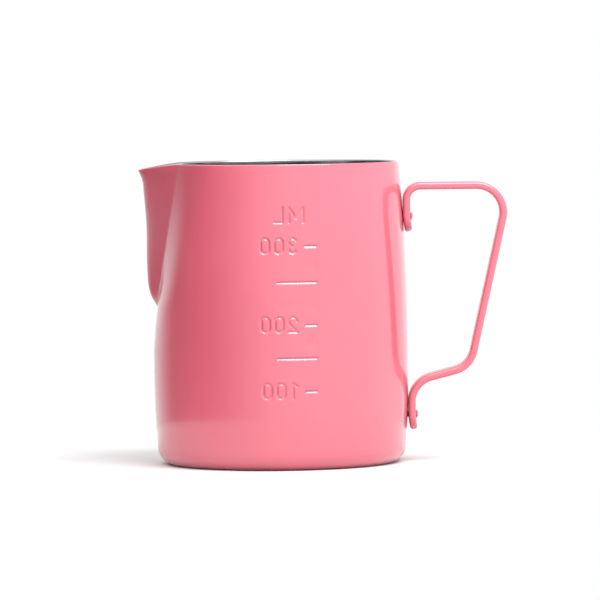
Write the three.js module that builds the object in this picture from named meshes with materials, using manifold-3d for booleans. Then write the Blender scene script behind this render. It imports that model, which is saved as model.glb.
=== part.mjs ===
// A small milk frothing pitcher: a one-piece drawn steel cup with a pressed pouring spout and a
// pressed volume scale, and a strap handle held on by two rivets.
// Millimetres. The origin is the centre of the base, +Z is up, the handle is on +X, the spout on -X
// and the scale faces -Y.

import * as THREE from "three";
import { mergeVertices } from "three/addons/utils/BufferGeometryUtils.js";
import Module from "manifold-3d";

const wasm = await Module();
wasm.setup();

const degrees = THREE.MathUtils.degToRad;

// ---- driving dimensions ------------------------------------------------------------------------

// the cup
const height = 94.4;
const bellyRadius = 40;
const bellyHeight = 32;
const rimNarrowing = 2.4;
const footNarrowing = 1.27;
const footCornerRadius = 5.3;
const footCornerSlope = degrees(4);
const wall = 0.8;
const cupSides = 72;
const facetCrowding = 0.6;

// the spout, as a function of height
const spoutBottom = 50;
const spoutHalfAngle = degrees(31);
const spoutSharpness = 0.6;
const tipDip = 2;
const dipBlendHeight = 14;
const ridgeReach = curveThrough([
  [50, 38.8], [51.5, 39.9], [54.5, 41.1], [60, 41.7], [76, 41.9], [85.5, 42.6], [89.3, 43], [92.4, 44.4],
]);
const valleyDepth = curveThrough([
  [36, 0], [44, 0.6], [50, 1.2], [60, 1.6], [71, 1.7], [85, 1.5], [94.4, 1.2],
]);
const valleyWidth = degrees(30);
const noseWidthAtBottom = 0.28;
const noseWidthAtTip = 0.08;

// the strap handle
const strapWidth = 9.3;
const strapThickness = 2.3;
const strapEdgeRadius = 0.9;
const seatGap = 0.06;
const upperTab = { seat: 79, flareFrom: 76.5, tip: 72.15 };
const lowerTab = { seat: 18, flareFrom: 13.2, tip: 10, top: 24.9 };
const flareReach = 0.7;
const topRunHeight = 86.5;
const gripTopReach = 72.35;
const gripFoot = { x: 59.35, z: 29.67 };
const bends = { upperTab: 4.3, gripTop: 8.5, gripFoot: 8, lowerTab: 8, flare: 20 };
const stepsPerBend = 8;
const facetsAcross = 6;
const facetsThrough = 4;
const endFacet = 0.12;

// the rivets
const rivetHeights = { upper_rivet: 77, lower_rivet: 14.8 };
const shankRadius = 0.9;
const holeGap = 0.1;
const outerHead = { radius: 1.3, height: 0.6 };
const innerHead = { radius: 2.4, height: 0.7 };
const innerHeadRelief = 0.25;
const outerHeadGap = 0.22;
const drillReach = 2;
const rivetSides = 20;

// the volume scale: its level marks and figures, in distances across the wall as read from inside
const scaleMarks = [
  { height: 24.7, text: "100" },
  { height: 34.9 },
  { height: 45.1, text: "200" },
  { height: 58.3 },
  { height: 69.3, text: "300" },
];
const markLeft = -11.2;
const shortMark = 3.3;
const longMark = 11.9;
const markStep = 2.4;
const textLeft = -5.13;
const textDrop = 2.1;
const digitHeight = 4.5;
const digitWidth = 2.5;
const oneWidth = 2.13;
const digitGap = 1.75;
const oneStem = 1.36;
const oneFlag = { across: 1.3, down: 0.85 };
const unitCorner = { across: -7.4, up: 76.6 };
const letterM = { width: 4.4, dip: 1.2 };
const letterL = { left: 6.5, width: 2.6 };
const markRadius = 0.6;
const textRadius = 0.42;
const pressDepth = 0.3;
const barSides = 5;

const pink = { color: 0xe8788a, roughness: 0.25, metalness: 0.1 };

// ---- small helpers -----------------------------------------------------------------------------

// a smooth function through a few [position, value] pairs
function curveThrough(pairs) {
  const positions = pairs.map((pair) => pair[0]);
  const values = pairs.map((pair) => pair[1]);
  const interpolant = new THREE.CubicInterpolant(positions, values, 1);
  const first = positions[0];
  const last = positions.at(-1);
  return (position) => interpolant.evaluate(THREE.MathUtils.clamp(position, first, last))[0];
}

function toSolid(geometry) {
  const bare = geometry.clone();
  bare.deleteAttribute("normal");
  bare.deleteAttribute("uv");
  const welded = mergeVertices(bare, 1e-4);
  const vertProperties = new Float32Array(welded.attributes.position.array);
  const triVerts = new Uint32Array(welded.index.array);
  return new wasm.Manifold(new wasm.Mesh({ numProp: 3, vertProperties, triVerts }));
}

function toGeometry(solid) {
  const mesh = solid.getMesh();
  const geometry = new THREE.BufferGeometry();
  geometry.setAttribute("position", new THREE.BufferAttribute(mesh.vertProperties, 3));
  geometry.setIndex(new THREE.BufferAttribute(mesh.triVerts, 1));
  return geometry;
}

// moves every vertex of a geometry to where place(vertex) puts it
function reshape(geometry, place) {
  const positions = geometry.attributes.position;
  const vertex = new THREE.Vector3();
  for (let i = 0; i < positions.count; i += 1) {
    vertex.fromBufferAttribute(positions, i);
    place(vertex);
    positions.setXYZ(i, vertex.x, vertex.y, vertex.z);
  }
  return geometry;
}

// 0 below low, 1 above high, and smooth between
const ramp = (value, low, high) => THREE.MathUtils.smoothstep(value, low, high);

// ---- the cup -----------------------------------------------------------------------------------

// the outer radius of the round wall at a height
function wallRadius(z) {
  if (z > bellyHeight) {
    return bellyRadius - rimNarrowing * ((z - bellyHeight) / (height - bellyHeight)) ** 2;
  }
  return bellyRadius - footNarrowing * ((bellyHeight - z) / bellyHeight) ** 2;
}

// the angle from the spout's centre line out to the crease beside it
function creaseAngle(z) {
  const rise = Math.max(0, z - spoutBottom) / (height - spoutBottom);
  return spoutHalfAngle * rise ** spoutSharpness;
}

// The outer radius at an angle from the spout's centre line. The wall sinks into a valley on each side
// of the spout, and straight flanks run from the valleys to a rounded nose.
function outerRadius(angle, z) {
  const crease = creaseAngle(z);
  const valleyRadius = wallRadius(z) - valleyDepth(z);
  if (angle >= crease) {
    const away = Math.min(1, (angle - crease) / valleyWidth);
    return wallRadius(z) - (valleyDepth(z) * (1 + Math.cos(Math.PI * away))) / 2;
  }
  const rise = (z - spoutBottom) / (height - spoutBottom);
  const nose = crease * THREE.MathUtils.lerp(noseWidthAtBottom, noseWidthAtTip, rise);
  const rounded = Math.hypot(angle, nose);
  const roundedCrease = Math.hypot(crease, nose);
  const ridge = ridgeReach(z);
  const flankTilt = Math.atan2(
    ridge * Math.cos(nose) - valleyRadius * Math.cos(roundedCrease),
    valleyRadius * Math.sin(roundedCrease) - ridge * Math.sin(nose),
  );
  return (ridge * Math.cos(nose - flankTilt)) / Math.cos(rounded - flankTilt);
}

// the rim dips towards the spout's tip, and the wall just below it follows
function dippedHeight(angle, z) {
  const towardsTip = Math.max(0, 1 - angle / spoutHalfAngle);
  return z - tipDip * towardsTip ** 1.5 * ramp(z, height - dipBlendHeight, height);
}

// heights of the rows of facets up the wall, closer together where the spout turns most
function wallHeights(start, end) {
  const zones = [
    { top: 46, rows: 3 },
    { top: 58, rows: 6 },
    { top: 86, rows: 5 },
    { top: end, rows: 4 },
  ];
  const heights = [];
  let bottom = start;
  for (const zone of zones) {
    for (let row = 0; row < zone.rows; row += 1) {
      heights.push(THREE.MathUtils.lerp(bottom, zone.top, row / zone.rows));
    }
    bottom = zone.top;
  }
  return heights;
}

// half of the cup's section on one face of the metal: floor, rounded corner and wall
function facePoints(inset, top) {
  const cornerTop = footCornerRadius * (1 - Math.sin(footCornerSlope));
  const cornerCentre = wallRadius(cornerTop) - footCornerRadius * Math.cos(footCornerSlope);
  const corner = new THREE.Path();
  corner.absarc(cornerCentre, footCornerRadius, footCornerRadius - inset, -Math.PI / 2, -footCornerSlope);
  const points = [new THREE.Vector2(0, inset), ...corner.getPoints(2)];
  for (const z of wallHeights(cornerTop, top).slice(1)) {
    points.push(new THREE.Vector2(wallRadius(z) - inset, z));
  }
  return points;
}

function cupSection() {
  const lip = wall / 2;
  const top = height - lip;
  const rim = new THREE.Path();
  rim.absarc(wallRadius(top) - lip, top, lip, 0, Math.PI);
  return [...facePoints(0, top), ...rim.getPoints(1), ...facePoints(wall, top).reverse()];
}

// The cup is turned round, then its wall is pushed out to the spout. Facets are narrower at the spout.
function cupSolid() {
  const turned = new THREE.LatheGeometry(cupSection(), cupSides).rotateX(Math.PI / 2);
  return toSolid(reshape(turned, (vertex) => {
    const even = Math.atan2(vertex.y, -vertex.x);
    const turn = even - facetCrowding * Math.sin(even);
    const angle = Math.abs(turn);
    const z = dippedHeight(angle, vertex.z);
    const offset = Math.hypot(vertex.x, vertex.y) - wallRadius(vertex.z);
    const pushed = z > footCornerRadius ? outerRadius(angle, z) - wallRadius(z) : 0;
    const radius = wallRadius(z > footCornerRadius ? z : vertex.z) + offset + pushed;
    vertex.set(-radius * Math.cos(turn), radius * Math.sin(turn), z);
  }));
}

// ---- the pressed scale -------------------------------------------------------------------------

// strokes of the characters, as points (across, up) from their lower left corner
function zeroStrokes() {
  const bowl = digitWidth / 2;
  const stroke = new THREE.Path();
  stroke.absarc(bowl, digitHeight - bowl, bowl, 0, Math.PI);
  stroke.absarc(bowl, bowl, bowl, Math.PI, 2 * Math.PI);
  stroke.closePath();
  return [stroke.getPoints(2)];
}

function oneStrokes() {
  const flagEnd = [oneStem - oneFlag.across, digitHeight - oneFlag.down];
  return [linePoints(flagEnd, [oneStem, digitHeight], [oneStem, 0])];
}

function twoStrokes() {
  const bowl = digitWidth / 2;
  const stroke = new THREE.Path();
  stroke.absarc(bowl, digitHeight - bowl, bowl, Math.PI, -degrees(35), true);
  stroke.lineTo(0, 0);
  stroke.lineTo(digitWidth, 0);
  return [stroke.getPoints(3)];
}

function threeStrokes() {
  const bowl = digitHeight / 4;
  const stroke = new THREE.Path();
  stroke.absarc(bowl, 3 * bowl, bowl, degrees(150), -Math.PI / 2, true);
  stroke.absarc(bowl, bowl, bowl, Math.PI / 2, -degrees(150), true);
  return [stroke.getPoints(4)];
}

function unitStrokes() {
  const { width, dip } = letterM;
  const m = linePoints([0, 0], [0, digitHeight], [width / 2, dip], [width, digitHeight], [width, 0]);
  const { left } = letterL;
  const l = linePoints([left, digitHeight], [left, 0], [left + letterL.width, 0]);
  return [m, l];
}

const digitStrokes = { 0: zeroStrokes, 1: oneStrokes, 2: twoStrokes, 3: threeStrokes };

const linePoints = (...corners) => corners.map(([across, up]) => new THREE.Vector2(across, up));

function shifted(stroke, across, up) {
  const step = new THREE.Vector2(across, up);
  return stroke.map((point) => point.clone().add(step));
}

// the level marks, each in steps short enough to follow the round wall
function markStrokes() {
  return scaleMarks.map((mark) => {
    const length = mark.text ? shortMark : longMark;
    const steps = Math.ceil(length / markStep);
    const ends = Array.from({ length: steps + 1 }, (_, step) => [(length * step) / steps, 0]);
    return shifted(linePoints(...ends), markLeft, mark.height);
  });
}

// the figures beside the marks, and the unit above them
function textStrokes() {
  const strokes = unitStrokes().map((stroke) => shifted(stroke, unitCorner.across, unitCorner.up));
  for (const mark of scaleMarks) {
    let left = textLeft;
    for (const digit of mark.text ?? "") {
      for (const stroke of digitStrokes[digit]()) {
        strokes.push(shifted(stroke, left, mark.height - textDrop));
      }
      left += (digit === "1" ? oneWidth : digitWidth) + digitGap;
    }
  }
  return strokes;
}

// a point of the scale on the centre line of a bar that is sunk in the outer face of the metal
function onWall(point, barRadius) {
  const radius = wallRadius(point.y) + barRadius - pressDepth;
  const turn = point.x / wallRadius(point.y);
  return new THREE.Vector3(-radius * Math.sin(turn), -radius * Math.cos(turn), point.y);
}

// a bar between two points, with pointed ends that fill the corners of a stroke
function barBetween(start, end, radius) {
  const length = start.distanceTo(end);
  const tip = radius / 2;
  const profile = [[0, -tip], [radius, 0], [radius, length], [0, length + tip]];
  const bar = new THREE.LatheGeometry(linePoints(...profile), barSides);
  const along = end.clone().sub(start).normalize();
  const turn = new THREE.Quaternion().setFromUnitVectors(new THREE.Vector3(0, 1, 0), along);
  return toSolid(bar.applyQuaternion(turn).translate(start.x, start.y, start.z));
}

function joined(solids) {
  return solids.reduce((all, solid) => all.add(solid));
}

// bars along all the strokes, joined as one solid
function strokesSolid(strokes, radius) {
  const bars = [];
  for (const stroke of strokes) {
    const points = stroke.map((point) => onWall(point, radius));
    points.slice(1).forEach((end, index) => bars.push(barBetween(points[index], end, radius)));
  }
  return joined(bars);
}

function scaleSolid() {
  return strokesSolid(markStrokes(), markRadius).add(strokesSolid(textStrokes(), textRadius));
}

// ---- the handle --------------------------------------------------------------------------------

const centreLineAt = (z) => wallRadius(z) + seatGap + strapThickness / 2;

// the strap's centre line seen from the side: straight runs with a round bend at each corner
function handleCorners() {
  const upperX = centreLineAt(upperTab.seat);
  const lowerX = centreLineAt(lowerTab.seat);
  return [
    { x: upperX + flareReach, z: upperTab.tip },
    { x: upperX, z: upperTab.flareFrom, bend: bends.flare },
    { x: upperX, z: topRunHeight, bend: bends.upperTab },
    { x: gripTopReach, z: topRunHeight, bend: bends.gripTop },
    { ...gripFoot, bend: bends.gripFoot },
    { x: lowerX, z: lowerTab.top, bend: bends.lowerTab },
    { x: lowerX, z: lowerTab.flareFrom, bend: bends.flare },
    { x: lowerX + flareReach, z: lowerTab.tip },
  ];
}

// the direction from one corner to another
function runBetween(from, to) {
  return new THREE.Vector2(to.x - from.x, to.z - from.z).normalize();
}

// points round one bend, an arc that touches the runs before and after the corner
function bendPoints(before, corner, after) {
  const here = new THREE.Vector2(corner.x, corner.z);
  const back = runBetween(corner, before);
  const onward = runBetween(corner, after);
  const halfOpening = Math.acos(back.dot(onward)) / 2;
  const inward = back.clone().add(onward).normalize();
  const centre = here.clone().addScaledVector(inward, corner.bend / Math.sin(halfOpening));
  const first = here.clone().addScaledVector(back, corner.bend / Math.tan(halfOpening));
  const turning = (Math.PI - 2 * halfOpening) * Math.sign(onward.cross(back));
  return Array.from({ length: stepsPerBend + 1 }, (_, step) => (
    first.clone().rotateAround(centre, (turning * step) / stepsPerBend)
  ));
}

// points along the whole centre line
function centreLine() {
  const corners = handleCorners();
  return corners.flatMap((corner, index) => {
    if (!corner.bend) {
      return [new THREE.Vector2(corner.x, corner.z)];
    }
    return bendPoints(corners[index - 1], corner, corners[index + 1]);
  });
}

// the stations of the strap: a place, the direction along it and the distance to the nearer end
function strapStations() {
  const points = centreLine();
  const along = points.map((point, index) => {
    const before = points[Math.max(0, index - 1)];
    const after = points[Math.min(points.length - 1, index + 1)];
    return after.clone().sub(before).normalize();
  });
  const travelled = [0];
  points.slice(1).forEach((point, index) => {
    travelled.push(travelled[index] + point.distanceTo(points[index]));
  });
  const total = travelled.at(-1);
  return points.map((point, index) => {
    const toEnd = Math.min(travelled[index], total - travelled[index]);
    return { point, along: along[index], toEnd };
  });
}

// half the strap's width at a distance from its end, which is a half circle
function halfWidth(toEnd) {
  const reach = strapWidth / 2;
  const fromCentre = Math.max(0, reach - toEnd - endFacet);
  return Math.sqrt(reach ** 2 - fromCentre ** 2);
}

// how far a vertex on one of the bar's long edges is drawn in to round the edge, less where it narrows
function edgeInset(share, half) {
  const edge = Math.min(strapEdgeRadius, half / 4);
  return edge * (1 - Math.cos((share * Math.PI) / 2));
}

// A flat bar, 2 units wide and thick and one unit long for each step, is bent along the stations.
function handleSolid() {
  const stations = strapStations();
  const steps = stations.length - 1;
  const bar = new THREE.BoxGeometry(2, 2, steps, facetsAcross, facetsThrough, steps);
  return toSolid(reshape(bar, (vertex) => {
    const { point, along, toEnd } = stations[Math.round(vertex.z + steps / 2)];
    const half = halfWidth(toEnd);
    const onEdge = Math.abs(vertex.x) === 1;
    const across = vertex.x * (onEdge ? half - edgeInset(vertex.y, half) : half);
    const through = (vertex.y * strapThickness) / 2;
    vertex.set(point.x - along.y * through, across, point.y + along.x * through);
  }));
}

// ---- the rivets --------------------------------------------------------------------------------

// where a rivet sits: its height and the places along X that its two heads bear on
function rivetSeat(z) {
  const tab = z > height / 2 ? upperTab : lowerTab;
  return {
    z,
    inner: wallRadius(z) - wall - innerHeadRelief,
    outer: centreLineAt(tab.seat) + strapThickness / 2 + outerHeadGap,
  };
}

// a rivet turned about its axis: a low inner head, a shank and a small domed outer head
function rivetGeometry({ z, inner, outer }) {
  const innerDome = new THREE.Path();
  innerDome.absellipse(0, inner, innerHead.radius, innerHead.height, -Math.PI / 2, 0);
  const outerDome = new THREE.Path();
  outerDome.absellipse(0, outer, outerHead.radius, outerHead.height, 0, Math.PI / 2);
  const shank = linePoints([shankRadius, inner], [shankRadius, outer]);
  const profile = [...innerDome.getPoints(3), ...shank, ...outerDome.getPoints(3)];
  return alongX(new THREE.LatheGeometry(profile, rivetSides)).translate(0, 0, z);
}

function rivetHole({ z, inner, outer }) {
  const radius = shankRadius + holeGap;
  const drill = new THREE.CylinderGeometry(radius, radius, outer - inner + 2 * drillReach, rivetSides);
  return toSolid(alongX(drill.translate(0, (inner + outer) / 2, 0)).translate(0, 0, z));
}

const alongX = (geometry) => geometry.rotateZ(-Math.PI / 2);

// ---- the assembly ------------------------------------------------------------------------------

function piece(name, geometry) {
  geometry.computeVertexNormals();
  const mesh = new THREE.Mesh(geometry, new THREE.MeshStandardMaterial(pink));
  mesh.name = name;
  return mesh;
}

const rivetSeats = Object.entries(rivetHeights).map(([name, z]) => ({ name, seat: rivetSeat(z) }));
const holes = joined(rivetSeats.map(({ seat }) => rivetHole(seat)));
const cup = cupSolid().subtract(scaleSolid()).subtract(holes);
const handle = handleSolid().subtract(holes);

const pitcher = new THREE.Group();
pitcher.name = "milk_pitcher";
pitcher.add(piece("pitcher_body", toGeometry(cup)));
pitcher.add(piece("handle", toGeometry(handle)));
rivetSeats.forEach(({ name, seat }) => pitcher.add(piece(name, rivetGeometry(seat))));

export default pitcher;
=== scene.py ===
"""The looks of a milk frothing pitcher: a pink coated steel cup, a strap handle and two rivets.

Lengths on the pitcher are in millimetres, as on a drawing, and turned into metres where a mesh is made.
Lengths of the camera, the lights and the materials' textures are in metres. The origin is the centre of
the base, +Z is up, the handle is on +X, the spout on -X, and the volume scale faces -Y.
"""

import math

import bpy
import numpy as np
from mathutils import Matrix, Vector


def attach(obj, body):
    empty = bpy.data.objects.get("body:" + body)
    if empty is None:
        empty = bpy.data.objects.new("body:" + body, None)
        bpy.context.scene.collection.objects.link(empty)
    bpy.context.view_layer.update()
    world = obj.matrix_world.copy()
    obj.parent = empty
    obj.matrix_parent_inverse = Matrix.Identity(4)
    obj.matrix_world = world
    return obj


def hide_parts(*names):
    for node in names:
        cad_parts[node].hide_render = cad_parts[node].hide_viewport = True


MM = 0.001

# ---- the cup -----------------------------------------------------------------------------------

# The same driving dimensions as the CAD part, apart from the base recess, which it leaves out. The belly
# and the spout's tip are a hair smaller than there, to stay inside its box.
HEIGHT = 94.4
BELLY_RADIUS = 39.99
BELLY_HEIGHT = 32
RIM_NARROWING = 2.4
FOOT_NARROWING = 1.27
FOOT_CORNER_RADIUS = 5.3
FOOT_CORNER_SLOPE = math.radians(4)
WALL = 0.8
MID_WALL = WALL / 2
COAT_ON_RIM = math.radians(115)

BASE_RECESS_DEPTH = 0.45
BASE_RECESS_RADIUS = 29
BASE_RECESS_SLOPE = 2.5

SPOUT_BOTTOM = 50
SPOUT_HALF_ANGLE = math.radians(31)
SPOUT_SHARPNESS = 0.6
TIP_DIP = 2
DIP_SHARPNESS = 1.5
DIP_BLEND_HEIGHT = 14

# How far out the spout's ridge and how deep the valley beside it is, as (height, value) pairs.
RIDGE_REACH = [
    (50, 38.8), (51.5, 39.9), (54.5, 41.1), (60, 41.7), (76, 41.9), (85.5, 42.6), (89.3, 43), (92.4, 44.33),
]
VALLEY_DEPTH = [(36, 0), (44, 0.6), (50, 1.2), (60, 1.6), (71, 1.7), (85, 1.5), (HEIGHT, 1.2)]
VALLEY_WIDTH = math.radians(30)
NOSE_WIDTH_AT_BOTTOM = 0.28
NOSE_WIDTH_AT_TIP = 0.08
NARROWEST_SPOUT = 0.0001

# ---- the volume scale, with places as (across, up), read from inside the cup -------------------

SCALE_MARKS = [(24.7, "100"), (34.9, ""), (45.1, "200"), (58.3, ""), (69.3, "300")]
MARK_LEFT = -11.2
SHORT_MARK = 3.3
LONG_MARK = 11.9
TEXT_LEFT = -5.13
TEXT_DROP = 2.1
DIGIT_HEIGHT = 4.5
DIGIT_WIDTH = 2.5
DIGIT_ARC_STEPS = 12
ONE_WIDTH = 2.13
DIGIT_GAP = 1.75
ONE_STEM = 1.36
ONE_FLAG = (1.3, 0.85)
UNIT_CORNER = (-7.4, 76.6)
LETTER_M = {"width": 4.4, "dip": 1.2}
LETTER_L = {"left": 6.5, "width": 2.6}
SCALE_HALF_WIDTH = 14
PRESS_ROUNDING = 0.15
MARK_GROOVE = {"depth": 0.42, "half_width": 0.8}
MARK_UPPER_SHARE = 0.45
TEXT_GROOVE = {"depth": 0.37, "half_width": 0.62}

# ---- the handle and the rivets -----------------------------------------------------------------

STRAP_WIDTH = 9.3
STRAP_THICKNESS = 2.3
STRAP_EDGE_RADIUS = 0.9
SEAT_GAP = 0.06
UPPER_TAB = {"seat": 79, "flare_from": 76.5, "tip": 72.15}
LOWER_TAB = {"seat": 18, "flare_from": 13.2, "tip": 10, "top": 24.9}
FLARE_REACH = 0.7
TOP_RUN_HEIGHT = 86.5
GRIP_TOP_REACH = 72.35
GRIP_FOOT = (59.35, 29.67)
BENDS = {"upper_tab": 4.3, "grip_top": 8.5, "grip_foot": 8, "lower_tab": 8, "flare": 20}

RIVETS = {"upper_rivet": (77, UPPER_TAB), "lower_rivet": (14.8, LOWER_TAB)}
SHANK_RADIUS = 0.9
OUTER_HEAD_GAP = 0.22
OUTER_HEAD_RADIUS = 1.3
OUTER_HEAD_HEIGHT = 0.6
INNER_HEAD_RADIUS = 2.4
INNER_HEAD_HEIGHT = 0.7
INNER_HEAD_RELIEF = 0.25

# ---- how fine the meshes are -------------------------------------------------------------------

OUTSIDE_STEP = 0.2
INSIDE_STEP = 0.3
HIDDEN_STEP = 0.5
PLAIN_WALL_STEP = 1.4
BASE_STEP = 4
RECESS_EDGE_STEP = 0.5
STANDING_RING_STEP = 1.5
FOOT_CORNER_STEPS = 9
RIM_STEPS = 6
MARK_CLEARANCE = 0.1

# (start, step) pairs round the cup, in degrees from the spout's centre line
TURN_STEPS = [(-180, 3.2), (-109, 0.32), (-79, 2.2), (-37, 1), (-9, 0.5), (9, 1), (37, 3.2), (180, 0)]

STRAP_BEND_STEPS = 60
STRAP_STEP = 0.55
STRAP_END_TURNS = np.radians(np.linspace(4, 90, 22))
STRAP_ACROSS_TURNS = np.radians(np.linspace(-90, 90, 41))
DIRECTION_NUDGE = 0.15
RIVET_SIDES = 40
RIVET_HEAD_STEPS = 10
FLOOR_SIDES = 96

# ---- materials, with noise scales per metre ----------------------------------------------------

NOISE_RANGE = (0.3, 0.7)
COAT_DEEP = (0.55, 0.084, 0.123)
COAT_LIGHT = (0.585, 0.092, 0.134)
COAT_DRIFT_SCALE = 28
COAT_BASE_ROUGHNESS = (0.36, 0.42)
COAT_BASE_IOR = 1.45
CLEAR_COAT_IOR = 1.65
PEEL_SCALE = 950
CUP_LACQUER = {"roughness": 0.1, "peel_depth": 0.0000012}
STRAP_LACQUER = {"roughness": 0.36, "peel_depth": 0.0000003}

STEEL_DARK = (0.42, 0.41, 0.40)
STEEL_LIGHT = (0.54, 0.53, 0.52)
STEEL_ROUGHNESS = (0.13, 0.26)
STEEL_CLOUD_SCALE = 45
TURNING_SCALE = 3200
TURNING_STRETCH = 0.02
TURNING_DEPTH = 0.000003

FLOOR_DARK = (0.74, 0.74, 0.74)
FLOOR_LIGHT = (0.78, 0.78, 0.78)
FLOOR_GRAIN_SCALE = 60
FLOOR_ROUGHNESS = 0.7
FLOOR_SPECULAR = 0.1
FLOOR_RADIUS = 150

# ---- light and camera --------------------------------------------------------------------------

# Azimuth 0 is the camera's side and 90 the handle's. A lobe grows from dim to bright between two cosines
# of the angle to its azimuth: (azimuth, low cosine, high cosine, dim, bright).
WHITE = (1, 1, 1)
KEY_COLOUR = (0.84, 0.97, 1.0)
KEY_LOBE = (54, -0.75, 0.84, 0.08, 1.62)
BACK_LOBE = (190, 0.52, 0.95, 0, 0.9)
SKY_LOBE = (-20, -0.7, 0.75, 0.65, 2.0)
SKY_EDGE = (0.25, 0.6)

# The power of a softbox is in watts per square metre of its face.
SOFTBOX = {"azimuth": 34, "elevation": 60, "distance": 0.55, "width": 0.38, "height": 0.26, "power": 38}
TABLE_LIGHT = {"azimuth": 48, "elevation": 60, "distance": 0.6, "width": 0.4, "height": 0.4, "power": 20}

CAMERA_DISTANCE = 1.7
CAMERA_HEIGHT = 0.129
AIM_X = 0.00614
AIM_HEIGHT = 0.051
VIEW_WIDTH = 0.1885
SENSOR = 36
CAMERA_REACH = 50
CAMERA_ROLL = math.radians(-0.65)


# ---- small helpers -----------------------------------------------------------------------------

def curve_through(pairs):
    """A smooth function through a few (position, value) pairs, straight at both ends."""
    positions, values = np.array(pairs, float).T
    last = len(positions) - 1

    def value_at(position):
        place = np.clip(position, positions[0], positions[-1])
        right = np.clip(np.searchsorted(positions, place, side="right"), 1, last)
        left = right - 1
        before = np.where(left > 0, left - 1, right)
        after = np.where(right < last, right + 1, left)
        step = positions[right] - positions[left]
        pull_before = step / 2 / (positions[left] - positions[before])
        pull_after = step / 2 / (positions[after] - positions[right])
        p = (place - positions[left]) / step
        from_before = pull_before * (-(p**3) + 2 * p**2 - p)
        from_left = (1 + pull_before) * p**3 - (1.5 + 2 * pull_before) * p**2 + (pull_before - 0.5) * p + 1
        from_right = -(1 + pull_after) * p**3 + (1.5 + pull_after) * p**2 + 0.5 * p
        from_after = pull_after * (p**3 - p**2)
        return (
            values[before] * from_before
            + values[left] * from_left
            + values[right] * from_right
            + values[after] * from_after
        )

    return value_at


def ramp(value, low, high):
    """0 below low, 1 above high, and smooth between."""
    share = np.clip((value - low) / (high - low), 0, 1)
    return share * share * (3 - 2 * share)


def steps_between(stops):
    """Values from (start, step) pairs, each step kept until the next start. The last start ends them."""
    values = []
    for (start, step), (end, _) in zip(stops, stops[1:]):
        count = max(1, math.ceil((end - start) / step))
        values.extend(np.linspace(start, end, count, endpoint=False))
    values.append(stops[-1][0])
    return np.array(values)


def arc_points(centre, radii, start, end, steps):
    """Points on part of an ellipse, between two angles in degrees."""
    turns = np.radians(np.linspace(start, end, steps + 1))
    return np.stack([centre[0] + radii[0] * np.cos(turns), centre[1] + radii[1] * np.sin(turns)], 1)


def add_mesh(name, points, faces, material):
    """A smooth-shaded mesh object from points in millimetres."""
    mesh = bpy.data.meshes.new(name)
    mesh.from_pydata((np.asarray(points, float) * MM).tolist(), [], faces)
    mesh.materials.append(material)
    mesh.shade_smooth()
    mesh.update()
    made = bpy.data.objects.new(name, mesh)
    bpy.context.scene.collection.objects.link(made)
    return made


def ring_faces(rings, per_ring, ends_are_points):
    """Faces between neighbouring closed rings of points. The first and last ring can be a single point."""
    faces = []
    starts = []
    place = 0
    for ring in range(rings):
        single = ends_are_points and ring in (0, rings - 1)
        starts.append((place, single))
        place += 1 if single else per_ring
    for (low, low_single), (high, high_single) in zip(starts, starts[1:]):
        for i in range(per_ring):
            j = (i + 1) % per_ring
            if low_single:
                faces.append((low, high + j, high + i))
            elif high_single:
                faces.append((low + i, low + j, high))
            else:
                faces.append((low + i, low + j, high + j, high + i))
    return faces


# ---- the shape of the cup ----------------------------------------------------------------------

ridge_reach = curve_through(RIDGE_REACH)
valley_depth = curve_through(VALLEY_DEPTH)


def wall_radius(z):
    """The outer radius of the round wall at a height."""
    above = BELLY_RADIUS - RIM_NARROWING * ((z - BELLY_HEIGHT) / (HEIGHT - BELLY_HEIGHT)) ** 2
    below = BELLY_RADIUS - FOOT_NARROWING * ((BELLY_HEIGHT - z) / BELLY_HEIGHT) ** 2
    return np.where(z > BELLY_HEIGHT, above, below)


def crease_angle(z):
    """The angle from the spout's centre line out to the crease beside it."""
    rise = np.maximum(0, z - SPOUT_BOTTOM) / (HEIGHT - SPOUT_BOTTOM)
    return SPOUT_HALF_ANGLE * rise**SPOUT_SHARPNESS


def outer_radius(angle, z):
    """The outer radius at an angle from the spout's centre line, with the spout and its two valleys."""
    crease = crease_angle(z)
    valley_radius = wall_radius(z) - valley_depth(z)
    away = np.clip((angle - crease) / VALLEY_WIDTH, 0, 1)
    beside = wall_radius(z) - valley_depth(z) * (1 + np.cos(np.pi * away)) / 2
    rise = np.clip((z - SPOUT_BOTTOM) / (HEIGHT - SPOUT_BOTTOM), 0, 1)
    spout = np.maximum(crease, NARROWEST_SPOUT)
    nose = spout * (NOSE_WIDTH_AT_BOTTOM + (NOSE_WIDTH_AT_TIP - NOSE_WIDTH_AT_BOTTOM) * rise)
    rounded = np.hypot(np.minimum(angle, spout), nose)
    rounded_crease = np.hypot(spout, nose)
    ridge = ridge_reach(z)
    flank_tilt = np.arctan2(
        ridge * np.cos(nose) - valley_radius * np.cos(rounded_crease),
        valley_radius * np.sin(rounded_crease) - ridge * np.sin(nose),
    )
    flank = ridge * np.cos(nose - flank_tilt) / np.cos(rounded - flank_tilt)
    return np.where(angle < crease, flank, beside)


def dipped_height(angle, z):
    """The rim dips towards the spout's tip, and the wall just below it follows."""
    towards_tip = np.maximum(0, 1 - angle / SPOUT_HALF_ANGLE)
    return z - TIP_DIP * towards_tip**DIP_SHARPNESS * ramp(z, HEIGHT - DIP_BLEND_HEIGHT, HEIGHT)


# ---- the strokes of the scale ------------------------------------------------------------------

def zero_strokes():
    """Two half circles joined by straight sides."""
    bowl = DIGIT_WIDTH / 2
    top = arc_points((bowl, DIGIT_HEIGHT - bowl), (bowl, bowl), 0, 180, DIGIT_ARC_STEPS)
    bottom = arc_points((bowl, bowl), (bowl, bowl), 180, 360, DIGIT_ARC_STEPS)
    return [np.concatenate([top, bottom, top[:1]])]


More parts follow.
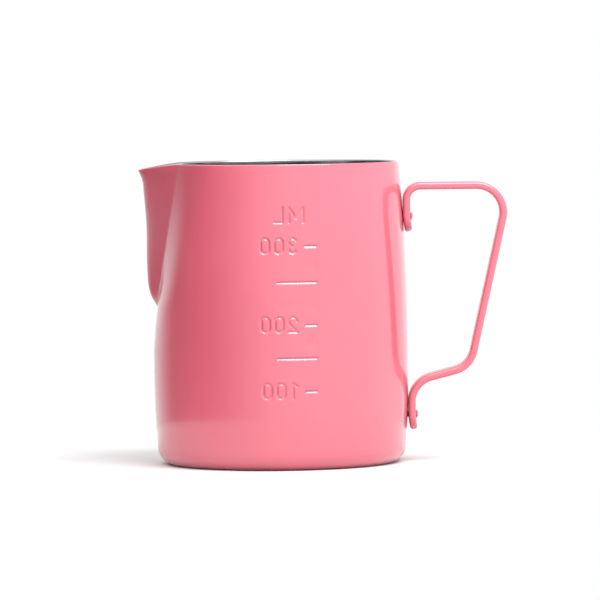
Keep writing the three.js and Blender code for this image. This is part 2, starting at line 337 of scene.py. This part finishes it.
def one_strokes():
    """A stem with a short flag."""
    flag_end = (ONE_STEM - ONE_FLAG[0], DIGIT_HEIGHT - ONE_FLAG[1])
    return [np.array([flag_end, (ONE_STEM, DIGIT_HEIGHT), (ONE_STEM, 0)])]


def two_strokes():
    """A bowl that runs down to the foot line, and the foot."""
    bowl = DIGIT_WIDTH / 2
    top = arc_points((bowl, DIGIT_HEIGHT - bowl), (bowl, bowl), 180, -35, DIGIT_ARC_STEPS)
    return [np.concatenate([top, [(0, 0), (DIGIT_WIDTH, 0)]])]


def three_strokes():
    """Two open bowls, one on the other."""
    bowl = DIGIT_HEIGHT / 4
    top = arc_points((bowl, 3 * bowl), (bowl, bowl), 150, -90, DIGIT_ARC_STEPS)
    bottom = arc_points((bowl, bowl), (bowl, bowl), 90, -150, DIGIT_ARC_STEPS)
    return [np.concatenate([top, bottom[1:]])]


def unit_strokes():
    """The letters of the unit, on their own foot line."""
    width, dip = LETTER_M["width"], LETTER_M["dip"]
    letter_m = [(0, 0), (0, DIGIT_HEIGHT), (width / 2, dip), (width, DIGIT_HEIGHT), (width, 0)]
    left = LETTER_L["left"]
    letter_l = [(left, DIGIT_HEIGHT), (left, 0), (left + LETTER_L["width"], 0)]
    return [np.array(letter_m), np.array(letter_l)]


DIGIT_STROKES = {"0": zero_strokes, "1": one_strokes, "2": two_strokes, "3": three_strokes}


def mark_strokes():
    """The scale's level marks: short beside a figure and long between two figures."""
    strokes = []
    for mark_height, text in SCALE_MARKS:
        length = SHORT_MARK if text else LONG_MARK
        strokes.append(np.array([(0, 0), (length, 0)]) + (MARK_LEFT, mark_height))
    return strokes


def text_strokes():
    """The scale's figures and its unit."""
    strokes = [stroke + UNIT_CORNER for stroke in unit_strokes()]
    for mark_height, text in SCALE_MARKS:
        left = TEXT_LEFT
        for digit in text:
            strokes.extend(stroke + (left, mark_height - TEXT_DROP) for stroke in DIGIT_STROKES[digit]())
            left += (ONE_WIDTH if digit == "1" else DIGIT_WIDTH) + DIGIT_GAP
    return strokes


def distance_to_strokes(points, strokes):
    """The distance from each point to the nearest stroke."""
    nearest = np.full(len(points), np.inf)
    for stroke in strokes:
        for start, end in zip(stroke, stroke[1:]):
            run = end - start
            share = np.clip((points - start) @ run / (run @ run), 0, 1)
            foot = start + share[:, None] * run
            nearest = np.minimum(nearest, np.hypot(*(points - foot).T))
    return nearest


def groove_depth(away):
    """The depth of a groove, from 1 on its centre line to 0 at its lip: straight sides, rounded turns."""
    turn = PRESS_ROUNDING
    run = 1 - turn
    at_bottom = away**2 / (2 * turn) / run
    on_side = (away - turn / 2) / run
    at_lip = 1 - (1 - away) ** 2 / (2 * turn) / run
    return 1 - np.where(away < turn, at_bottom, np.where(away > run, at_lip, on_side))


def stretched_above(points):
    """Points moved up where they are above their nearest mark, which makes a mark's upper side steeper."""
    heights = np.array([height for height, _ in SCALE_MARKS])
    nearest = heights[np.abs(points[:, 1:] - heights).argmin(axis=1)]
    above = np.maximum(points[:, 1] - nearest, 0)
    return np.stack([points[:, 0], points[:, 1] + above * (1 / MARK_UPPER_SHARE - 1)], 1)


def pressed_depth(turn, z):
    """How far the scale's strokes push the wall inwards at a turn from the spout and a height."""
    across = (np.pi / 2 + turn) * wall_radius(z)
    depth = np.zeros(np.shape(across))
    zone = (np.abs(across) < SCALE_HALF_WIDTH) & (z > SCALE_MARKS[0][0] - DIGIT_HEIGHT)
    points = np.stack([across[zone], z[zone]], 1)
    for strokes, groove, places in (
        (mark_strokes(), MARK_GROOVE, stretched_above(points)),
        (text_strokes(), TEXT_GROOVE, points),
    ):
        away = np.minimum(1, distance_to_strokes(places, strokes) / groove["half_width"])
        depth[zone] = np.maximum(depth[zone], groove["depth"] * groove_depth(away))
    return depth


# ---- the mesh of the cup -----------------------------------------------------------------------

def wall_turns():
    """Turns from the spout's centre line round the cup, close together at the spout and the scale."""
    return np.radians(steps_between(TURN_STEPS)[:-1])


def wall_heights(bottom, fine):
    """Heights up the wall, close together at the scale's marks, figures and unit."""
    half = DIGIT_HEIGHT / 2
    around = MARK_GROOVE["half_width"] + MARK_CLEARANCE
    bands = [(height, half if text else 0) for height, text in SCALE_MARKS]
    bands.append((UNIT_CORNER[1] + half, half))
    stops = [(bottom, PLAIN_WALL_STEP)]
    for middle, reach in bands:
        stops.append((middle - reach - around, fine))
        stops.append((middle + reach + around, PLAIN_WALL_STEP))
    stops.append((HEIGHT - WALL / 2, 0))
    return steps_between(stops)


def base_lift(radius):
    """The middle of the base is pressed up a little, so that the cup stands on a ring."""
    return BASE_RECESS_DEPTH * ramp(BASE_RECESS_RADIUS - radius, 0, BASE_RECESS_SLOPE)


def face_section(inset, fine):
    """Half of one face of the metal in section, from the axis to below the rim, as (radius, z)."""
    corner_top = FOOT_CORNER_RADIUS * (1 - math.sin(FOOT_CORNER_SLOPE))
    corner_centre = float(wall_radius(corner_top)) - FOOT_CORNER_RADIUS * math.cos(FOOT_CORNER_SLOPE)
    radii = steps_between([
        (0, BASE_STEP),
        (BASE_RECESS_RADIUS - BASE_RECESS_SLOPE, RECESS_EDGE_STEP),
        (BASE_RECESS_RADIUS, STANDING_RING_STEP),
        (corner_centre, 0),
    ])
    base = np.stack([radii, inset + base_lift(radii)], 1)
    centre = (corner_centre, FOOT_CORNER_RADIUS)
    bend = FOOT_CORNER_RADIUS - inset
    corner = arc_points(centre, (bend, bend), -90, -math.degrees(FOOT_CORNER_SLOPE), FOOT_CORNER_STEPS)
    heights = wall_heights(corner[-1, 1], fine)[1:]
    wall = np.stack([wall_radius(heights) - inset, heights], 1)
    return np.concatenate([base, corner[1:], wall])


def rim_section(start, end):
    """Part of the half-round rim in section, by its angle from the outer face."""
    bend = WALL / 2
    top = HEIGHT - bend
    centre = (float(wall_radius(top)) - bend, top)
    return arc_points(centre, (bend, bend), math.degrees(start), math.degrees(end), RIM_STEPS)


def press_round(section):
    """The points of a turned section once the spout and the scale are pressed into it."""
    turns = wall_turns()
    radius, z = section[:, 0][:, None], section[:, 1][:, None]
    angle = np.abs(turns)[None, :]
    level = dipped_height(angle, z) + 0 * angle
    pushed = outer_radius(angle, level) - wall_radius(z)
    pressed = pressed_depth(turns[None, :] + 0 * level, level)
    final = radius + np.where(z > FOOT_CORNER_RADIUS, pushed - pressed, 0)
    return np.stack([-final * np.cos(turns), final * np.sin(turns), level], 2)


def turned_piece(name, section, material):
    """A closed piece whose section starts and ends on the axis."""
    grid = press_round(section)[:, ::-1]
    rings, per_ring = grid.shape[:2]
    points = np.concatenate([grid[0, :1], grid[1:-1].reshape(-1, 3), grid[-1, :1]])
    return add_mesh(name, points, ring_faces(rings, per_ring, True), material)


def build_coat(material):
    """The coated outer half of the metal: underside, wall and the top of the rim."""
    outside = face_section(0, OUTSIDE_STEP)
    rim = rim_section(0, COAT_ON_RIM)
    hidden = face_section(MID_WALL, HIDDEN_STEP)
    section = np.concatenate([outside, rim[1:], hidden[::-1]])
    return turned_piece("cup_coat", section, material)


def build_lining(material):
    """The bare steel half of the metal: the inside of the wall and the floor."""
    hidden = face_section(MID_WALL, HIDDEN_STEP)
    rim = rim_section(COAT_ON_RIM, math.pi)
    inside = face_section(WALL, INSIDE_STEP)
    section = np.concatenate([hidden, rim[:-1], inside[::-1]])
    return turned_piece("cup_lining", section, material)


# ---- the handle --------------------------------------------------------------------------------

def centre_line_at(z):
    """The x of the middle of a tab's metal where the tab rests on the wall at a height."""
    return float(wall_radius(z)) + SEAT_GAP + STRAP_THICKNESS / 2


def handle_corners():
    """The strap's centre line seen from the side, as (x, z, bend radius)."""
    upper_x = centre_line_at(UPPER_TAB["seat"])
    lower_x = centre_line_at(LOWER_TAB["seat"])
    return [
        (upper_x + FLARE_REACH, UPPER_TAB["tip"], 0),
        (upper_x, UPPER_TAB["flare_from"], BENDS["flare"]),
        (upper_x, TOP_RUN_HEIGHT, BENDS["upper_tab"]),
        (GRIP_TOP_REACH, TOP_RUN_HEIGHT, BENDS["grip_top"]),
        (*GRIP_FOOT, BENDS["grip_foot"]),
        (lower_x, LOWER_TAB["top"], BENDS["lower_tab"]),
        (lower_x, LOWER_TAB["flare_from"], BENDS["flare"]),
        (lower_x + FLARE_REACH, LOWER_TAB["tip"], 0),
    ]


def bent_line(corners):
    """Points along the centre line, with each bend as an arc that touches both of its runs."""
    points = []
    for index, (x, z, bend) in enumerate(corners):
        here = np.array([x, z])
        if not bend:
            points.append(here)
            continue
        before = np.array(corners[index - 1][:2]) - here
        after = np.array(corners[index + 1][:2]) - here
        before /= np.linalg.norm(before)
        after /= np.linalg.norm(after)
        half_opening = math.acos(before @ after) / 2
        inward = (before + after) / np.linalg.norm(before + after)
        centre = here + inward * bend / math.sin(half_opening)
        first = here + before * bend / math.tan(half_opening) - centre
        turning = math.pi - 2 * half_opening
        if after[0] * before[1] - after[1] * before[0] < 0:
            turning = -turning
        for turn in np.linspace(0, turning, STRAP_BEND_STEPS + 1):
            spoke = (
                first[0] * math.cos(turn) - first[1] * math.sin(turn),
                first[0] * math.sin(turn) + first[1] * math.cos(turn),
            )
            points.append(centre + spoke)
    return np.array(points)


def strap_stations():
    """Places along the strap, close together at its round ends: point, direction, distance to an end."""
    line = bent_line(handle_corners())
    travelled = np.concatenate([[0], np.cumsum(np.hypot(*np.diff(line, axis=0).T))])
    total = travelled[-1]
    reach = STRAP_WIDTH / 2
    end = reach * (1 - np.cos(STRAP_END_TURNS))
    middle = np.arange(reach, total - reach, STRAP_STEP)[1:]
    stations = np.concatenate([end, middle, total - end[::-1]])

    def points_at(places):
        return np.stack([np.interp(places, travelled, line[:, axis]) for axis in (0, 1)], 1)

    along = points_at(stations + DIRECTION_NUDGE) - points_at(stations - DIRECTION_NUDGE)
    along /= np.linalg.norm(along, axis=1)[:, None]
    return points_at(stations), along, np.minimum(stations, total - stations)


def strap_section(to_end):
    """One section of the strap as (across, through) round the loop, at a distance from the strap's end."""
    reach = STRAP_WIDTH / 2
    short = max(0, reach - to_end)
    half = math.sqrt(max(0, reach**2 - short**2))
    across = half * np.sin(STRAP_ACROSS_TURNS)
    from_edge = np.clip(reach - np.hypot(across, short), 0, STRAP_EDGE_RADIUS)
    drop = STRAP_EDGE_RADIUS - np.sqrt(STRAP_EDGE_RADIUS**2 - (STRAP_EDGE_RADIUS - from_edge) ** 2)
    face = STRAP_THICKNESS / 2 - drop
    return np.concatenate([np.stack([across, -face], 1), np.stack([across, face], 1)[::-1]])


def build_handle(material):
    """The strap: one section after another along its centre line, closed at both ends."""
    points = []
    centres, along, to_end = strap_stations()
    for centre, direction, distance in zip(centres, along, to_end):
        for across, through in strap_section(distance):
            points.append((centre[0] - direction[1] * through, across, centre[1] + direction[0] * through))
    rings = len(centres)
    per_ring = len(points) // rings
    faces = ring_faces(rings, per_ring, False)
    faces.append(tuple(range(per_ring))[::-1])
    faces.append(tuple(range((rings - 1) * per_ring, rings * per_ring)))
    return add_mesh("strap_handle", points, faces, material)


# ---- the rivets --------------------------------------------------------------------------------

def turned_about_x(name, profile, height, material):
    """A closed piece turned about a level axis, from (x, radius) pairs that start and end on the axis."""
    turns = np.linspace(0, 2 * math.pi, RIVET_SIDES, endpoint=False)
    points = []
    for x, radius in profile:
        if radius == 0:
            points.append((x, 0, height))
        else:
            points.extend((x, radius * math.cos(t), height + radius * math.sin(t)) for t in turns)
    return add_mesh(name, points, ring_faces(len(profile), RIVET_SIDES, True), material)


def build_rivet(node, height, tab, coat, steel):
    """The coated outer head with its shank, and the bare inner head."""
    outer = centre_line_at(tab["seat"]) + STRAP_THICKNESS / 2 + OUTER_HEAD_GAP
    inner = float(wall_radius(height)) - WALL - INNER_HEAD_RELIEF
    dome = arc_points((outer, 0), (OUTER_HEAD_HEIGHT, OUTER_HEAD_RADIUS), 90, 0, RIVET_HEAD_STEPS)
    button = arc_points((inner, 0), (INNER_HEAD_HEIGHT, INNER_HEAD_RADIUS), 180, 90, RIVET_HEAD_STEPS)
    middle = (inner + outer) / 2
    shank = [(middle, 0), (middle, SHANK_RADIUS), (outer, SHANK_RADIUS)]
    head = shank + [tuple(p) for p in dome[:-1]] + [(float(dome[-1, 0]), 0)]
    stub = [(inner, SHANK_RADIUS), (middle, SHANK_RADIUS), (middle, 0)]
    back = [(float(button[0, 0]), 0)] + [tuple(p) for p in button[1:]] + stub
    outside = turned_about_x(node + "_head", head, height, coat)
    inside = turned_about_x(node + "_button", back, height, steel)
    return outside, inside


# ---- materials ---------------------------------------------------------------------------------

class Nodes:
    """A few short ways to add and join the nodes of one material."""

    def __init__(self, name):
        self.material = bpy.data.materials.new(name)
        self.material.use_nodes = True
        self.tree = self.material.node_tree
        self.surface = self.tree.nodes["Principled BSDF"]

    def add(self, kind, **settings):
        node = self.tree.nodes.new(kind)
        for key, value in settings.items():
            setattr(node, key, value)
        return node

    def join(self, output, target):
        self.tree.links.new(output, target)

    def place(self):
        """Where a point is on the object, in metres."""
        return self.add("ShaderNodeTexCoord").outputs["Object"]

    def noise(self, vector, scale, detail=3):
        node = self.add("ShaderNodeTexNoise")
        node.inputs["Scale"].default_value = scale
        node.inputs["Detail"].default_value = detail
        self.join(vector, node.inputs["Vector"])
        return node.outputs["Fac"]

    def spread(self, value, low, high):
        """A noise value, which lies mostly within NOISE_RANGE, spread between two values."""
        node = self.add("ShaderNodeMapRange")
        for socket, number in zip(("From Min", "From Max", "To Min", "To Max"), (*NOISE_RANGE, low, high)):
            node.inputs[socket].default_value = number
        self.join(value, node.inputs["Value"])
        return node.outputs["Result"]

    def blend(self, share, first, second):
        node = self.add("ShaderNodeMix", data_type="RGBA")
        node.inputs["A"].default_value = (*first, 1)
        node.inputs["B"].default_value = (*second, 1)
        self.join(share, node.inputs["Factor"])
        return node.outputs["Result"]

    def calculate(self, operation, first, second):
        """One sum on two values, each a number or another node's output."""
        node = self.add("ShaderNodeMath", operation=operation)
        for socket, value in zip(node.inputs, (first, second)):
            if isinstance(value, (int, float)):
                socket.default_value = value
            else:
                self.join(value, socket)
        return node.outputs["Value"]

    def bump(self, height, depth):
        node = self.add("ShaderNodeBump")
        node.inputs["Distance"].default_value = depth
        self.join(height, node.inputs["Height"])
        self.join(node.outputs["Normal"], self.surface.inputs["Normal"])


def coat_material(name, lacquer):
    """Pink coating with a fine orange peel and faint shifts of colour and gloss."""
    made = Nodes(name)
    drift = made.noise(made.place(), COAT_DRIFT_SCALE)
    peel = made.noise(made.place(), PEEL_SCALE, detail=2)
    made.join(made.blend(made.spread(drift, 0, 1), COAT_DEEP, COAT_LIGHT), made.surface.inputs["Base Color"])
    made.join(made.spread(drift, *COAT_BASE_ROUGHNESS), made.surface.inputs["Roughness"])
    made.surface.inputs["Coat Weight"].default_value = 1
    made.surface.inputs["Coat Roughness"].default_value = lacquer["roughness"]
    made.surface.inputs["Coat IOR"].default_value = CLEAR_COAT_IOR
    made.surface.inputs["IOR"].default_value = COAT_BASE_IOR
    made.bump(peel, lacquer["peel_depth"])
    return made.material


def steel_material():
    """Bare stainless steel with fine turning lines round the cup and across its floor."""
    made = Nodes("bare_steel")
    split = made.add("ShaderNodeSeparateXYZ")
    made.join(made.place(), split.inputs["Vector"])
    x_squared = made.calculate("POWER", split.outputs["X"], 2)
    y_squared = made.calculate("POWER", split.outputs["Y"], 2)
    radius = made.calculate("POWER", made.calculate("ADD", x_squared, y_squared), 0.5)
    lines_at = made.add("ShaderNodeCombineXYZ")
    made.join(radius, lines_at.inputs["X"])
    made.join(split.outputs["Z"], lines_at.inputs["Z"])
    made.join(made.calculate("MULTIPLY", split.outputs["X"], TURNING_STRETCH), lines_at.inputs["Y"])
    lines = made.noise(lines_at.outputs["Vector"], TURNING_SCALE)
    cloud = made.spread(made.noise(made.place(), STEEL_CLOUD_SCALE), 0, 1)
    made.surface.inputs["Metallic"].default_value = 1
    made.join(made.blend(cloud, STEEL_DARK, STEEL_LIGHT), made.surface.inputs["Base Color"])
    made.join(made.spread(lines, *STEEL_ROUGHNESS), made.surface.inputs["Roughness"])
    made.bump(lines, TURNING_DEPTH)
    return made.material


def floor_material():
    """A pale matt table top."""
    made = Nodes("table_top")
    grain = made.noise(made.place(), FLOOR_GRAIN_SCALE)
    made.join(made.blend(grain, FLOOR_DARK, FLOOR_LIGHT), made.surface.inputs["Base Color"])
    made.surface.inputs["Roughness"].default_value = FLOOR_ROUGHNESS
    made.surface.inputs["Specular IOR Level"].default_value = FLOOR_SPECULAR
    return made.material


# ---- the studio --------------------------------------------------------------------------------

def add_floor():
    """A round table top under the pitcher, which is scenery and not part of the object."""
    turns = np.linspace(0, 2 * math.pi, FLOOR_SIDES, endpoint=False)
    points = [(FLOOR_RADIUS * math.cos(t), FLOOR_RADIUS * math.sin(t), 0) for t in turns]
    floor = add_mesh("floor", points, [tuple(range(len(points)))], floor_material())
    return floor


def add_softbox(name, place, lit):
    """A soft light that shines on the lit objects only."""
    light = bpy.data.lights.new(name, "AREA")
    light.shape = "RECTANGLE"
    light.size = place["width"]
    light.size_y = place["height"]
    light.energy = place["power"] * light.size * light.size_y
    softbox = bpy.data.objects.new(name, light)
    azimuth, elevation = math.radians(place["azimuth"]), math.radians(place["elevation"])
    level = Vector((math.sin(azimuth), -math.cos(azimuth), 0)) * math.cos(elevation)
    back = level + Vector((0, 0, math.sin(elevation)))
    softbox.location = back * place["distance"] + Vector((0, 0, HEIGHT / 2 * MM))
    softbox.rotation_euler = (-back).to_track_quat("-Z", "Y").to_euler()
    softbox.visible_camera = False
    bpy.context.scene.collection.objects.link(softbox)
    receivers = bpy.data.collections.new(name + "_lights")
    for piece in lit:
        receivers.objects.link(piece)
    softbox.light_linking.receiver_collection = receivers


def lobe(tree, direction, azimuth, low, high, dim, bright):
    """Brightness that grows smoothly towards an azimuth, between two cosines of the angle to it."""
    towards = tree.nodes.new("ShaderNodeVectorMath")
    towards.operation = "DOT_PRODUCT"
    a = math.radians(azimuth)
    towards.inputs[1].default_value = (math.sin(a), -math.cos(a), 0)
    tree.links.new(direction, towards.inputs[0])
    level = tree.nodes.new("ShaderNodeMapRange")
    level.interpolation_type = "SMOOTHSTEP"
    for socket, value in (("From Min", low), ("From Max", high), ("To Min", dim), ("To Max", bright)):
        level.inputs[socket].default_value = value
    tree.links.new(towards.outputs["Value"], level.inputs["Value"])
    return level.outputs["Result"]


def add_world():
    """Soft light all round, strongest from the right, with a plain white background for the camera."""
    world = bpy.data.worlds.new("studio")
    world.use_nodes = True
    bpy.context.scene.world = world
    tree = world.node_tree
    nodes, links = tree.nodes, tree.links
    nodes.clear()
    direction = nodes.new("ShaderNodeTexCoord").outputs["Generated"]

    def background(colour, strength):
        node = nodes.new("ShaderNodeBackground")
        node.inputs["Color"].default_value = (*colour, 1)
        if isinstance(strength, (int, float)):
            node.inputs["Strength"].default_value = strength
        else:
            links.new(strength, node.inputs["Strength"])
        return node.outputs["Background"]

    def joined(kind, first, second, share=None):
        node = nodes.new(kind)
        shaders = [socket for socket in node.inputs if socket.type == "SHADER"]
        links.new(first, shaders[0])
        links.new(second, shaders[1])
        if share is not None:
            links.new(share, node.inputs["Fac"])
        return node.outputs["Shader"]

    key = background(KEY_COLOUR, lobe(tree, direction, *KEY_LOBE))
    back = background(WHITE, lobe(tree, direction, *BACK_LOBE))
    around = joined("ShaderNodeAddShader", key, back)
    split = nodes.new("ShaderNodeSeparateXYZ")
    links.new(direction, split.inputs["Vector"])
    rise = nodes.new("ShaderNodeMapRange")
    rise.interpolation_type = "SMOOTHSTEP"
    rise.inputs["From Min"].default_value, rise.inputs["From Max"].default_value = SKY_EDGE
    links.new(split.outputs["Z"], rise.inputs["Value"])
    sky = background(WHITE, lobe(tree, direction, *SKY_LOBE))
    studio = joined("ShaderNodeMixShader", around, sky, rise.outputs["Result"])
    ray = nodes.new("ShaderNodeLightPath")
    plain = background(WHITE, 1)
    seen = joined("ShaderNodeMixShader", studio, plain, ray.outputs["Is Camera Ray"])
    links.new(seen, nodes.new("ShaderNodeOutputWorld").inputs["Surface"])


def add_camera():
    """A camera in front of the scale and a little above it, aimed at the middle of the pitcher."""
    camera = bpy.data.cameras.new("camera")
    made = bpy.data.objects.new("camera", camera)
    bpy.context.scene.collection.objects.link(made)
    made.location = (AIM_X, -CAMERA_DISTANCE, CAMERA_HEIGHT)
    sight = Vector((AIM_X, 0, AIM_HEIGHT)) - made.location
    level = sight.to_track_quat("-Z", "Y").to_matrix().to_4x4()
    made.rotation_euler = (level @ Matrix.Rotation(CAMERA_ROLL, 4, "Z")).to_euler()
    camera.sensor_width = SENSOR
    camera.lens = SENSOR * sight.length / VIEW_WIDTH
    camera.clip_end = CAMERA_REACH
    bpy.context.scene.camera = made


# ---- the scene ---------------------------------------------------------------------------------

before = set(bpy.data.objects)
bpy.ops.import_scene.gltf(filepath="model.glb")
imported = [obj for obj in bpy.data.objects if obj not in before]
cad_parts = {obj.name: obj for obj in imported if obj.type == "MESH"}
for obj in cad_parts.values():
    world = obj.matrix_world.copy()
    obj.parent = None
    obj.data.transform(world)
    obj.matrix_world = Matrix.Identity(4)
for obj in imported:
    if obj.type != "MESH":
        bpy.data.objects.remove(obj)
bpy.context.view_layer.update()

coat = coat_material("pink_coat", CUP_LACQUER)
strap_coat = coat_material("pink_strap_coat", STRAP_LACQUER)
steel = steel_material()

cup_coat = build_coat(coat)
cup_lining = build_lining(steel)
handle = build_handle(strap_coat)
pieces = [cup_coat, cup_lining, handle]
for piece, node, slot in zip(
    pieces, ("pitcher_body", "pitcher_body", "handle"), ("pink_coat", "bare_steel", "pink_coat")
):
    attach(piece, "root")
    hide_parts(node)
for node, (height, tab) in RIVETS.items():
    for piece, slot in zip(build_rivet(node, height, tab, strap_coat, steel), ("pink_coat", "bare_steel")):
        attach(piece, "root")
        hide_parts(node)
        pieces.append(piece)

floor = add_floor()
add_world()
add_softbox("softbox", SOFTBOX, pieces)
add_softbox("table_light", TABLE_LIGHT, [floor])
add_camera()
bpy.context.scene.view_settings.view_transform = "Standard"
